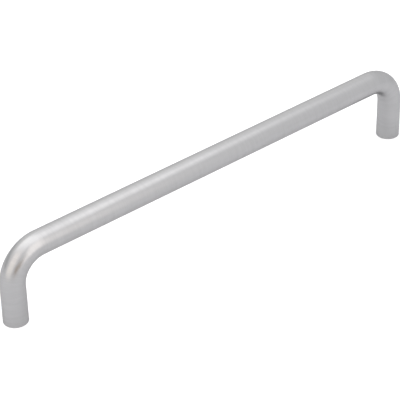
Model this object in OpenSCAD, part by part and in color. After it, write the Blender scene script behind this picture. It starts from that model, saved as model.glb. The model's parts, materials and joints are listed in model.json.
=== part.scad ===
// Bow cabinet handle: one round steel bar, bent down at both ends, with a tapped blind hole
// in the face of each foot. It stands on its feet: X runs along the grip, Z away from the
// door, and the origin lies on the mounting plane midway between the two screw holes.

/* [Bar] */
// Diameter of the round bar
bar_d = 8; // [7:0.25:12]
// Distance between the centres of the two screw holes
hole_spacing = 160; // [64:16:320]
// Height of the grip's outer side above the mounting plane
projection = 28; // [26:0.5:45]
// Radius of each bend along the bar's centreline
bend_r = 10.5; // [7:0.25:14]

/* [Feet] */
// Radius that breaks the sharp edge round each foot
edge_r = 0.3; // [0.1:0.05:0.6]

/* [Screw holes] */
// Diameter of the hole at the roots of its thread
thread_d = 4; // [3:0.25:4.5]
// Distance from one turn of the thread to the next, which also sets the tapping drill
thread_pitch = 0.7; // [0.4:0.05:1]
// Depth of full thread above the foot's face
thread_depth = 10; // [6:0.5:12]
// How far the drill ran on past the last full thread
drill_run = 1.5; // [0.5:0.25:2.5]
// Angle across the drill's point
drill_point = 118; // [90:2:140]
// Width of the countersink round the mouth of the hole
mouth_bevel = 0.3; // [0.1:0.05:0.6]

/* [Hidden] */
$fn = 96;
// Radius of the bar, and the height of its centreline along the grip
bar_r = bar_d / 2;
grip_z = projection - bar_r;
// Straight part of each leg, and half the straight part of the grip
foot_x = hole_spacing / 2;
leg_h = grip_z - bend_r;
grip_half = foot_x - bend_r;
// Tapping drill and the height of its point
drill_d = thread_d - thread_pitch;
point_h = drill_d / 2 / tan(drill_point / 2);
// How far a cutter starts outside the face that it cuts
past = 0.1;

// Half of a leg's section through its axis, with the edge of the foot rounded.
module leg_profile() {
    square([bar_r - edge_r, leg_h]);
    translate([0, edge_r]) square([bar_r, leg_h - edge_r]);
    translate([bar_r - edge_r, edge_r]) circle(edge_r);
}

// A leg on the Z axis, from the mounting plane up to where the bend starts.
module leg() {
    rotate_extrude() leg_profile();
}

// A quarter turn of the bar, from the top of the leg round to the end of the grip.
module bend() {
    translate([-bend_r, 0, leg_h])
        rotate([90, 0, 0])
            rotate_extrude(angle = 90) translate([bend_r, 0]) circle(bar_r);
}

// The straight grip between the two bends.
module grip() {
    translate([-grip_half, 0, grip_z])
        rotate([0, 90, 0]) cylinder(h = 2 * grip_half, r = bar_r);
}

// The tapped blind hole, from the foot's face upwards: countersink, thread, drill and point.
module screw_hole() {
    thread_r = thread_d / 2;
    translate([0, 0, -past])
        cylinder(h = mouth_bevel + past, r1 = thread_r + mouth_bevel + past, r2 = thread_r);
    cylinder(h = thread_depth, r = thread_r);
    cylinder(h = thread_depth + drill_run, d = drill_d);
    translate([0, 0, thread_depth + drill_run]) cylinder(h = point_h, d1 = drill_d, d2 = 0);
}

// Places its children at the +X foot, and a mirrored copy at the -X foot.
module at_both_feet() {
    translate([foot_x, 0, 0]) children();
    mirror([1, 0, 0]) translate([foot_x, 0, 0]) children();
}

// The whole bar: it is bent from one length of rod, so it is one solid.
module handle_bar() {
    color([0.72, 0.72, 0.73]) difference() {
        union() {
            grip();
            at_both_feet() {
                leg();
                bend();
            }
        }
        at_both_feet() screw_hole();
    }
}

handle_bar();
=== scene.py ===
import json
import math

import bmesh
import bpy
from mathutils import Matrix, Vector


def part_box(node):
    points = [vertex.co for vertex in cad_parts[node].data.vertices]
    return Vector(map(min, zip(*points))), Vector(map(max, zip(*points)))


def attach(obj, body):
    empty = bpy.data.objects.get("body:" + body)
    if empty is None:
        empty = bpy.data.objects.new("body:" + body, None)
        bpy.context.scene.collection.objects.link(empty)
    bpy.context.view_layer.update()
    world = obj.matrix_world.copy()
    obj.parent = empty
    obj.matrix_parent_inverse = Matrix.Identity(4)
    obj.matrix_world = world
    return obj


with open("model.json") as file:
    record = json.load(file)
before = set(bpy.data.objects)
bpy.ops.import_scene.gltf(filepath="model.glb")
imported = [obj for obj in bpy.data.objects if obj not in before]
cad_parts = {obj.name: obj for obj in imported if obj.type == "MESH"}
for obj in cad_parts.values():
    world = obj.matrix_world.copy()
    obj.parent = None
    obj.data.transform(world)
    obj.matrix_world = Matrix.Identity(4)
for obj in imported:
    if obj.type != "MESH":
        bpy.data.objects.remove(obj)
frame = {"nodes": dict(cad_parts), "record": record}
bpy.context.view_layer.update()
bar = frame["nodes"]["handle_bar"]
mounts = {m["name"]: m for m in frame["record"]["mounts"]}
print("frame: loaded the handle bar")

# where the bar runs, in metres; its finish follows it round the bends
barPath = {
    "radius": 0.004,
    "bendRadius": 0.0105,  # of the centreline
    "holeX": abs(mounts["screw_hole_right"]["pos_m"][0]),
}
barPath["gripZ"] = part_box("handle_bar")[1].z - barPath["radius"]
barPath["gripHalf"] = barPath["holeX"] - barPath["bendRadius"]
barPath["legTop"] = barPath["gripZ"] - barPath["bendRadius"]


# short ways to add and join nodes
def addNode(tree, kind, **values):
    node = tree.nodes.new(kind)
    for name, value in values.items():
        setattr(node, name, value)
    return node


def feed(tree, socket, value):
    if isinstance(value, bpy.types.NodeSocket):
        tree.links.new(value, socket)
    else:
        socket.default_value = value


def calculate(tree, operation, *values):
    node = addNode(tree, "ShaderNodeMath", operation=operation)
    for socket, value in zip(node.inputs, values):
        feed(tree, socket, value)
    return node.outputs[0]


def remap(tree, value, low, high, newLow, newHigh):
    node = addNode(tree, "ShaderNodeMapRange", interpolation_type="SMOOTHSTEP")
    for socket, given in zip(node.inputs, (value, low, high, newLow, newHigh)):
        feed(tree, socket, given)
    return node.outputs[0]


def blendValues(tree, share, first, second):
    node = addNode(tree, "ShaderNodeMix", data_type="FLOAT")
    for index, given in ((0, share), (2, first), (3, second)):
        feed(tree, node.inputs[index], given)
    return node.outputs[0]


def blendColours(tree, share, first, second):
    node = addNode(tree, "ShaderNodeMix", data_type="RGBA")
    for index, given in ((0, share), (6, first), (7, second)):
        feed(tree, node.inputs[index], given)
    return node.outputs[2]


def shade(colour, factor):
    return [c * factor for c in colour] + [1.0]


def joinXYZ(tree, *values):
    node = addNode(tree, "ShaderNodeCombineXYZ")
    for socket, value in zip(node.inputs, values):
        feed(tree, socket, value)
    return node.outputs[0]


def splitXYZ(tree, vector):
    node = addNode(tree, "ShaderNodeSeparateXYZ")
    tree.links.new(vector, node.inputs[0])
    return node.outputs


def newGroup(name, inputs, outputs):
    group = bpy.data.node_groups.new(name, "ShaderNodeTree")
    for label, kind in inputs:
        group.interface.new_socket(label, in_out="INPUT", socket_type="NodeSocket" + kind)
    for label, kind in outputs:
        group.interface.new_socket(label, in_out="OUTPUT", socket_type="NodeSocket" + kind)
    return group, addNode(group, "NodeGroupInput"), addNode(group, "NodeGroupOutput")


# places a group and sets its inputs by name, where lineWidth stands for the input Line Width
def placeGroup(tree, group, **values):
    node = addNode(tree, "ShaderNodeGroup", node_tree=group)
    for name, value in values.items():
        label = "".join(" " + c if c.isupper() else c for c in name)
        feed(tree, node.inputs[label[0].upper() + label[1:]], value)
    return node


# where a point lies on the bar as if it had never been bent: along it, away from the bend's centre and
# across, and how far it is from the hole's axis and from the mounting plane
def makeUnbentGroup():
    group, given, result = newGroup(
        "unbentBar", [],
        [("Along", "Float"), ("Outward", "Float"), ("Across", "Float"), ("Hole Distance", "Float"),
         ("Height", "Float")])
    x, y, z = splitXYZ(group, addNode(group, "ShaderNodeTexCoord").outputs["Object"])
    farX = calculate(group, "ABSOLUTE", x)
    pastX = calculate(group, "MAXIMUM", calculate(group, "SUBTRACT", farX, barPath["gripHalf"]), 0.0)
    pastZ = calculate(group, "MAXIMUM", calculate(group, "SUBTRACT", z, barPath["legTop"]), 0.0)
    squares = calculate(group, "ADD", calculate(group, "MULTIPLY", pastX, pastX),
                        calculate(group, "MULTIPLY", pastZ, pastZ))
    outward = calculate(group, "SUBTRACT", calculate(group, "SQRT", squares), barPath["bendRadius"])
    turned = calculate(group, "MULTIPLY", calculate(group, "ARCTAN2", pastX, pastZ), barPath["bendRadius"])
    straight = calculate(group, "MINIMUM", farX, barPath["gripHalf"])
    downLeg = calculate(group, "MAXIMUM", calculate(group, "SUBTRACT", barPath["legTop"], z), 0.0)
    along = calculate(group, "ADD", calculate(group, "ADD", straight, turned), downLeg)
    signed = calculate(group, "MULTIPLY", along, calculate(group, "SIGN", x))
    fromHole = calculate(group, "SUBTRACT", farX, barPath["holeX"])
    holeSquares = calculate(group, "ADD", calculate(group, "MULTIPLY", fromHole, fromHole),
                            calculate(group, "MULTIPLY", y, y))
    holeDistance = calculate(group, "SQRT", holeSquares)
    for value, socket in zip((signed, outward, y, holeDistance, z), result.inputs):
        group.links.new(value, socket)
    return group


# how the noise under all tool marks is made, and the part of its range that their tone uses
markNoise = {"lineDetail": 3.0, "streakDetail": 2.0, "roughness": 0.6, "toneSpan": (0.36, 0.64)}


# marks that a belt or a cutter leaves across the vector's X: how high its fine lines stand, and the
# tone that they add up to with wider streaks and patches, each by its share
def makeToolMarksGroup():
    group, given, result = newGroup(
        "toolMarks",
        [("Vector", "Vector"), ("Line Width", "Float"), ("Line Length", "Float"), ("Line Height", "Float"),
         ("Line Share", "Float"), ("Streak Width", "Float"), ("Streak Length", "Float"),
         ("Streak Share", "Float"), ("Patch Size", "Float"), ("Patch Share", "Float")],
        [("Tone", "Float"), ("Height", "Float")])
    values = given.outputs

    def noise(width, length, detail):
        finer = calculate(group, "DIVIDE", 1.0, width)
        longer = calculate(group, "DIVIDE", 1.0, length)
        scaled = addNode(group, "ShaderNodeVectorMath", operation="MULTIPLY")
        group.links.new(values["Vector"], scaled.inputs[0])
        group.links.new(joinXYZ(group, finer, longer, longer), scaled.inputs[1])
        texture = addNode(group, "ShaderNodeTexNoise", noise_dimensions="3D")
        texture.inputs["Scale"].default_value = 1.0
        texture.inputs["Detail"].default_value = detail
        texture.inputs["Roughness"].default_value = markNoise["roughness"]
        group.links.new(scaled.outputs[0], texture.inputs["Vector"])
        return texture.outputs["Fac"]

    lines = noise(values["Line Width"], values["Line Length"], markNoise["lineDetail"])
    streaks = noise(values["Streak Width"], values["Streak Length"], markNoise["streakDetail"])
    patches = noise(values["Patch Size"], values["Patch Size"], markNoise["streakDetail"])
    total = calculate(group, "MULTIPLY", lines, values["Line Share"])
    total = calculate(group, "MULTIPLY_ADD", streaks, values["Streak Share"], total)
    total = calculate(group, "MULTIPLY_ADD", patches, values["Patch Share"], total)
    group.links.new(remap(group, total, *markNoise["toneSpan"], 0.0, 1.0), result.inputs["Tone"])
    raised = calculate(group, "MULTIPLY", lines, values["Line Height"])
    group.links.new(raised, result.inputs["Height"])
    return group


# steel whose colour and roughness follow the tone of its tool marks
def makeMarkedSteelGroup():
    group, given, result = newGroup(
        "markedSteel",
        [("Tone", "Float"), ("Colour", "Color"), ("Variation", "Float"), ("Dullest", "Float"),
         ("Shiniest", "Float")],
        [("Colour", "Color"), ("Roughness", "Float")])
    values = given.outputs
    darkest = calculate(group, "SUBTRACT", 1.0, values["Variation"])
    spread = calculate(group, "MULTIPLY", values["Variation"], 2.0)
    scaled = addNode(group, "ShaderNodeVectorMath", operation="SCALE")
    group.links.new(values["Colour"], scaled.inputs[0])
    share = calculate(group, "MULTIPLY_ADD", values["Tone"], spread, darkest)
    group.links.new(share, scaled.inputs["Scale"])
    group.links.new(scaled.outputs[0], result.inputs["Colour"])
    roughness = remap(group, values["Tone"], 0.0, 1.0, values["Dullest"], values["Shiniest"])
    group.links.new(roughness, result.inputs["Roughness"])
    return group


unbentBar = makeUnbentGroup()
toolMarks = makeToolMarksGroup()
markedSteel = makeMarkedSteelGroup()
print("node groups: made the bar's own coordinates, the tool marks and the steel that shows them")


def newMaterial(name):
    material = bpy.data.materials.new(name)
    material.use_nodes = True
    return material, material.node_tree


def newSteel(name):
    material, tree = newMaterial(name)
    tree.nodes["Principled BSDF"].inputs["Metallic"].default_value = 1.0
    return material, tree, tree.nodes["Principled BSDF"].inputs


def addBump(tree, height, socket):
    bump = addNode(tree, "ShaderNodeBump")
    bump.inputs["Distance"].default_value = 1.0  # heights are in metres
    tree.links.new(height, bump.inputs["Height"])
    tree.links.new(bump.outputs[0], socket)


def placeInScene(name, data):
    thing = bpy.data.objects.new(name, data)
    bpy.context.scene.collection.objects.link(thing)
    return thing


# satin steel, brushed by a belt that runs round the bar: colours are linear, sizes in metres
satinSteel = {
    "steel": {"colour": (0.433, 0.433, 0.443, 1.0), "variation": 0.035, "dullest": 0.34, "shiniest": 0.28},
    "marks": {"lineWidth": 0.00013, "lineLength": 0.006, "lineHeight": 0.0000012, "lineShare": 0.45,
              "streakWidth": 0.0014, "streakLength": 0.012, "streakShare": 0.33,
              "patchSize": 0.011, "patchShare": 0.22},
    "beltLean": 0.14,  # how far the lines lean along the bar as they go round it
    "edgeTint": 0.75,  # how much of the light is left where the bar turns away
}

# the ends of the bar: a face turned after sawing, its worn rim, and the drilled hole
cutFoot = {
    "steel": {"colour": (0.5, 0.5, 0.5, 1.0), "variation": 0.06, "dullest": 0.36, "shiniest": 0.2},
    "marks": {"lineWidth": 0.00016, "lineLength": 0.02, "lineHeight": 0.000004, "lineShare": 0.5,
              "streakWidth": 0.0006, "streakLength": 0.02, "streakShare": 0.5,
              "patchSize": 0.0006, "patchShare": 0.0},
    "faceFade": (0.000025, 0.000075),  # heights between which the cut face gives way to the belt lines
    "holeFade": (0.00255, 0.00265),  # the same outwards from the hole's axis, past the countersink
    "holeEnd": 0.0003,  # how far above the leg's top the rings end, past the drill's point
    "wornWidth": 0.0006,  # of the rubbed rim, in from the side of the bar
    "wornHeight": 0.0009,  # and up from its face
    "wornShine": 0.05,  # how much smoother it is than the steel beside it
    "wornColour": 1.12,  # and how much lighter
}


def makeSatinSteel(s, f):
    material, tree, finish = newSteel("satinSteel")
    finish["Specular Tint"].default_value = shade((1, 1, 1), s["edgeTint"])
    where = placeGroup(tree, unbentBar).outputs
    along, outward, across = where["Along"], where["Outward"], where["Across"]
    reach, height = where["Hole Distance"], where["Height"]

    # belt lines round the bar
    leaning = joinXYZ(tree, calculate(tree, "MULTIPLY_ADD", across, s["beltLean"], along), outward, across)
    beltMarks = placeGroup(tree, toolMarks, vector=leaning, **s["marks"]).outputs
    belt = placeGroup(tree, markedSteel, tone=beltMarks["Tone"], **s["steel"]).outputs

    # rings round the hole on the foot's face and down the drilled wall
    outOrUp = joinXYZ(tree, calculate(tree, "ADD", reach, height), outward, across)
    ringMarks = placeGroup(tree, toolMarks, vector=outOrUp, **f["marks"]).outputs
    rings = placeGroup(tree, markedSteel, tone=ringMarks["Tone"], **f["steel"]).outputs

    # where the rings and the worn rim show
    onFace = remap(tree, height, *f["faceFade"], 1.0, 0.0)
    nearAxis = remap(tree, reach, *f["holeFade"], 1.0, 0.0)
    inLeg = remap(tree, height, barPath["legTop"], barPath["legTop"] + f["holeEnd"], 1.0, 0.0)
    cut = calculate(tree, "MAXIMUM", onFace, calculate(tree, "MULTIPLY", nearAxis, inLeg))
    onRim = remap(tree, reach, barPath["radius"] - f["wornWidth"], barPath["radius"], 0.0, 1.0)
    worn = calculate(tree, "MULTIPLY", onRim, remap(tree, height, 0.0, f["wornHeight"], 1.0, 0.0))

    rubbedColour = shade(s["steel"]["colour"][:3], f["wornColour"])
    wornColour = blendColours(tree, worn, belt["Colour"], rubbedColour)
    tree.links.new(blendColours(tree, cut, wornColour, rings["Colour"]), finish["Base Color"])
    shine = calculate(tree, "MULTIPLY", worn, f["wornShine"])
    wornRoughness = calculate(tree, "SUBTRACT", belt["Roughness"], shine)
    tree.links.new(blendValues(tree, cut, wornRoughness, rings["Roughness"]), finish["Roughness"])
    raised = blendValues(tree, cut, beltMarks["Height"], ringMarks["Height"])
    addBump(tree, raised, finish["Normal"])
    return material


bar.data.materials[0] = makeSatinSteel(satinSteel, cutFoot)
print("materials: gave the bar its satin finish and its cut feet")

# the ridge of the M4 thread that stands in from the wall of each screw hole, in metres
screwThread = {
    "pitch": 0.0007,
    "baseWidth": 0.0006125,
    "crestWidth": 0.00018,
    "crestRadius": 0.00165,
    "sunk": 0.00002,  # into the wall of the hole
    "runOut": 0.5,  # turns in which it fades at each end
    "runOutTip": 0.04,  # share of its full height that is left at the very end
    "stepsPerTurn": 48,
    "steel": {"colour": (0.5, 0.5, 0.5, 1.0), "variation": 0.08, "dullest": 0.36, "shiniest": 0.22},
    "marks": {"lineWidth": 0.00005, "lineLength": 0.003, "lineHeight": 0.000002, "lineShare": 0.5,
              "streakWidth": 0.0007, "streakLength": 0.003, "streakShare": 0.5,
              "patchSize": 0.0007, "patchShare": 0.0},
}


def makeCutSteel(t):
    material, tree, finish = newSteel("cutSteel")
    x, y, z = splitXYZ(tree, addNode(tree, "ShaderNodeTexCoord").outputs["Object"])
    marks = placeGroup(tree, toolMarks, vector=joinXYZ(tree, z, x, y), **t["marks"]).outputs
    steel = placeGroup(tree, markedSteel, tone=marks["Tone"], **t["steel"]).outputs
    tree.links.new(steel["Colour"], finish["Base Color"])
    tree.links.new(steel["Roughness"], finish["Roughness"])
    addBump(tree, marks["Height"], finish["Normal"])
    return material


def makeThread(name, mount, t, material):
    x, y, middle = mount["pos_m"]  # half way up the thread's depth
    wall = mount["dims"]["r_mm"] / 1000 + t["sunk"]
    highest = 2 * middle
    lowest = highest - mount["dims"]["length_mm"] / 1000
    turns = (highest - lowest - t["baseWidth"]) / t["pitch"]
    steps = int(turns * t["stepsPerTurn"])
    shape = bmesh.new()
    rings = []
    for step in range(steps + 1):
        turn = step / t["stepsPerTurn"]
        turnsFromEnd = min(step, steps - step) / t["stepsPerTurn"]
        grown = min(1.0, t["runOutTip"] + turnsFromEnd / t["runOut"])
        crest = wall - grown * (wall - t["crestRadius"])
        centre = lowest + t["baseWidth"] / 2 + t["pitch"] * turn
        halfBase = t["baseWidth"] / 2 * math.sqrt(grown)
        halfCrest = t["crestWidth"] / 2 * math.sqrt(grown)
        outline = ((wall, -halfBase), (crest, -halfCrest), (crest, halfCrest), (wall, halfBase))
        angle = 2 * math.pi * turn
        rings.append([shape.verts.new((x + r * math.cos(angle), y + r * math.sin(angle), centre + rise))
                      for r, rise in outline])
    for lower, upper in zip(rings, rings[1:]):
        for side in range(len(lower)):
            after = (side + 1) % len(lower)
            shape.faces.new((lower[side], lower[after], upper[after], upper[side]))
    shape.faces.new(rings[0])
    shape.faces.new(rings[-1])
    bmesh.ops.recalc_face_normals(shape, faces=shape.faces)
    for face in shape.faces:
        face.smooth = True
    for ring, nextRing in zip(rings, rings[1:]):
        for corner, nextCorner in zip(ring, nextRing):
            shape.edges.get((corner, nextCorner)).smooth = False  # keeps the ridge's corners sharp
    mesh = bpy.data.meshes.new(name)
    shape.to_mesh(mesh)
    shape.free()
    mesh.materials.append(material)
    ridge = placeInScene(name, mesh)
    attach(ridge, "root")
    return len(mesh.polygons)


cutSteel = makeCutSteel(screwThread)
for side in ("left", "right"):
    faces = makeThread("screw_thread_" + side, mounts["screw_hole_" + side], screwThread, cutSteel)
    print("thread: cut the", side, "screw thread,", faces, "faces")

# the photograph's camera, fitted to the outline of the bar; metres and degrees
photoCamera = {
    "azimuth": -40.05,
    "elevation": 33.71,
    "roll": -1.23,
    "distance": 0.5929,
    "target": (-0.00615, 0.0, 0.01074),
    "sensorWidth": 36.0,
    "lens": 166.13,
}


def directionTo(azimuth, elevation):
    a, e = math.radians(azimuth), math.radians(elevation)
    return Vector((math.sin(a) * math.cos(e), -math.cos(a) * math.cos(e), math.sin(e)))


def makeCamera(c):
    data = bpy.data.cameras.new("photoCamera")
    data.sensor_width = c["sensorWidth"]
    data.lens = c["lens"]
    camera = placeInScene("photoCamera", data)
    back = directionTo(c["azimuth"], c["elevation"])
    right = Vector((0, 0, 1)).cross(back).normalized()
    up = back.cross(right)
    turn = math.radians(c["roll"])
    tiltedRight = right * math.cos(turn) + up * math.sin(turn)
    tiltedUp = up * math.cos(turn) - right * math.sin(turn)
    axes = Matrix((tiltedRight, tiltedUp, back)).transposed()
    camera.matrix_world = Matrix.Translation(Vector(c["target"]) + back * c["distance"]) @ axes.to_4x4()
    bpy.context.scene.camera = camera


makeCamera(photoCamera)
print("camera: set at the photograph's angle")


# turns a light or a screen towards the handle, from a place given by its angles and distance
def hang(thing, s):
    back = directionTo(s["azimuth"], s["elevation"])
    thing.location = back * s["distance"]
    thing.rotation_mode = "QUATERNION"
    thing.rotation_quaternion = back.to_track_quat("Z", "Y")
    thing.visible_camera = False


# soft boxes round the handle: where each hangs, its size in metres, how bright its cloth is, its tint
softBoxes = {
    "overheadCore": {"azimuth": 60.0, "elevation": 85.0, "distance": 0.7, "size": (0.65, 0.65),
                     "radiance": 0.46, "colour": (1.0, 0.97, 0.94)},
    "overheadWide": {"azimuth": 180.0, "elevation": 84.0, "distance": 0.8, "size": (1.2, 1.2),
                     "radiance": 0.5, "colour": (1.0, 0.99, 0.97)},
    "leftTop": {"azimuth": -145.0, "elevation": 60.0, "distance": 0.8, "size": (0.5, 0.4),
                "radiance": 0.44, "colour": (1.0, 0.98, 0.92)},
    "leftLow": {"azimuth": -85.0, "elevation": 22.0, "distance": 0.8, "size": (0.65, 0.92),
                "radiance": 0.61, "colour": (1.0, 0.88, 0.72)},
    "leftHigh": {"azimuth": -83.0, "elevation": 40.0, "distance": 0.8, "size": (0.9, 0.45),
                 "radiance": 0.17, "colour": (1.0, 0.85, 0.88)},
    "right": {"azimuth": 4.0, "elevation": 26.0, "distance": 0.8, "size": (0.57, 0.92),
              "radiance": 1.0, "colour": (1.0, 0.93, 0.86)},
    "behind": {"azimuth": 180.0, "elevation": 34.0, "distance": 0.8, "size": (1.6, 0.5),
               "radiance": 0.2, "colour": (1.0, 0.98, 0.86)},
}


def addSoftBox(name, s):
    width, height = s["size"]
    data = bpy.data.lights.new(name, "AREA")
    data.shape = "RECTANGLE"
    data.size, data.size_y = width, height
    data.color = s["colour"]
    data.energy = s["radiance"] * math.pi * width * height
    hang(placeInScene(name, data), s)


for name, s in softBoxes.items():
    addSoftBox(name, s)
print("lights: hung", len(softBoxes), "soft boxes")

# grey screens that only the steel's reflections show: each a plain mesh with its own brightness
greyScreens = {
    "lowFront": {"azimuth": -34.0, "elevation": 3.0, "distance": 0.79, "size": (0.42, 0.36),
                 "glow": (0.51, 0.37, 0.24)},
    "lowBehind": {"azimuth": -150.0, "elevation": 8.0, "distance": 0.8, "size": (0.9, 0.35),
                  "glow": (0.67, 0.68, 0.68)},
}


def addScreen(name, s):
    mesh = bpy.data.meshes.new(name)
    shape = bmesh.new()
    bmesh.ops.create_grid(shape, x_segments=1, y_segments=1, size=0.5)  # one unit square
    bmesh.ops.scale(shape, verts=shape.verts, vec=(*s["size"], 1.0))
    shape.to_mesh(mesh)
    shape.free()
    screen = placeInScene(name, mesh)
    material, tree = newMaterial(name + "Cloth")
    tree.nodes.clear()
    glow = addNode(tree, "ShaderNodeEmission")
    glow.inputs["Color"].default_value = shade(s["glow"], 1.0)
    tree.links.new(glow.outputs[0], addNode(tree, "ShaderNodeOutputMaterial").inputs["Surface"])
    mesh.materials.append(material)
    hang(screen, s)
    screen.visible_diffuse = screen.visible_shadow = False


for name, s in greyScreens.items():
    addScreen(name, s)
print("screens: hung", len(greyScreens), "grey screens")

# the room: how bright its light is on dull surfaces, and as it is seen and mirrored
room = {"ambient": 0.72, "background": 1.0}


# masks of what the camera sees straight, and of what it sees in or through something else
def sightLines(tree):
    light = addNode(tree, "ShaderNodeLightPath")
    glossy, through = light.outputs["Is Glossy Ray"], light.outputs["Is Transmission Ray"]
    return light.outputs["Is Camera Ray"], calculate(tree, "MAXIMUM", glossy, through)


def makeRoom(r):
    world = bpy.data.worlds.new("studio")
    bpy.context.scene.world = world
    world.use_nodes = True
    tree = world.node_tree
    shown = calculate(tree, "MAXIMUM", *sightLines(tree))
    strength = blendValues(tree, shown, r["ambient"], r["background"])
    tree.links.new(strength, tree.nodes["Background"].inputs["Strength"])
    tree.nodes["Background"].inputs["Color"].default_value = (1.0, 1.0, 1.0, 1.0)


makeRoom(room)

# the white table that the handle stands on
table = {
    "radius": 3.0,
    "drop": 0.00002,  # under the feet
    "openingRadius": 0.0036,  # under each foot, which covers it: lets light into the hole from below
    "segments": (96, 48),  # round its rim, and round each opening
    "paint": (0.79, 0.8, 0.82),
    "seenGlow": 0.45,  # keeps it white to the camera, under a faint shadow
    "mirroredGlow": 0.11,
}


def makeTable(t):
    mesh = bpy.data.meshes.new("table")
    shape = bmesh.new()
    bmesh.ops.create_circle(shape, radius=t["radius"], segments=t["segments"][0])
    for x in (-barPath["holeX"], barPath["holeX"]):
        centre = Matrix.Translation((x, 0, 0))
        bmesh.ops.create_circle(shape, radius=t["openingRadius"], segments=t["segments"][1], matrix=centre)
    bmesh.ops.triangle_fill(shape, use_beauty=True, edges=shape.edges, normal=(0, 0, 1))
    bmesh.ops.translate(shape, verts=shape.verts, vec=(0, 0, -t["drop"]))
    shape.to_mesh(mesh)
    shape.free()
    top = placeInScene("table", mesh)
    material, tree = newMaterial("whiteTable")
    tree.nodes.clear()
    paint = addNode(tree, "ShaderNodeBsdfDiffuse")
    paint.inputs["Color"].default_value = shade(t["paint"], 1.0)
    seen, mirrored = sightLines(tree)
    glow = addNode(tree, "ShaderNodeEmission")
    mirroredShare = calculate(tree, "MULTIPLY", mirrored, t["mirroredGlow"])
    strength = calculate(tree, "MULTIPLY_ADD", seen, t["seenGlow"], mirroredShare)
    tree.links.new(strength, glow.inputs["Strength"])
    both = addNode(tree, "ShaderNodeAddShader")
    tree.links.new(paint.outputs[0], both.inputs[0])
    tree.links.new(glow.outputs[0], both.inputs[1])
    fromBelow = addNode(tree, "ShaderNodeMixShader")  # clear from below, so that the feet can be seen
    tree.links.new(addNode(tree, "ShaderNodeNewGeometry").outputs["Backfacing"], fromBelow.inputs[0])
    tree.links.new(both.outputs[0], fromBelow.inputs[1])
    tree.links.new(addNode(tree, "ShaderNodeBsdfTransparent").outputs[0], fromBelow.inputs[2])
    tree.links.new(fromBelow.outputs[0], addNode(tree, "ShaderNodeOutputMaterial").inputs["Surface"])
    mesh.materials.append(material)


makeTable(table)
bpy.context.scene.view_settings.view_transform = "Standard"
print("room: white table and background")
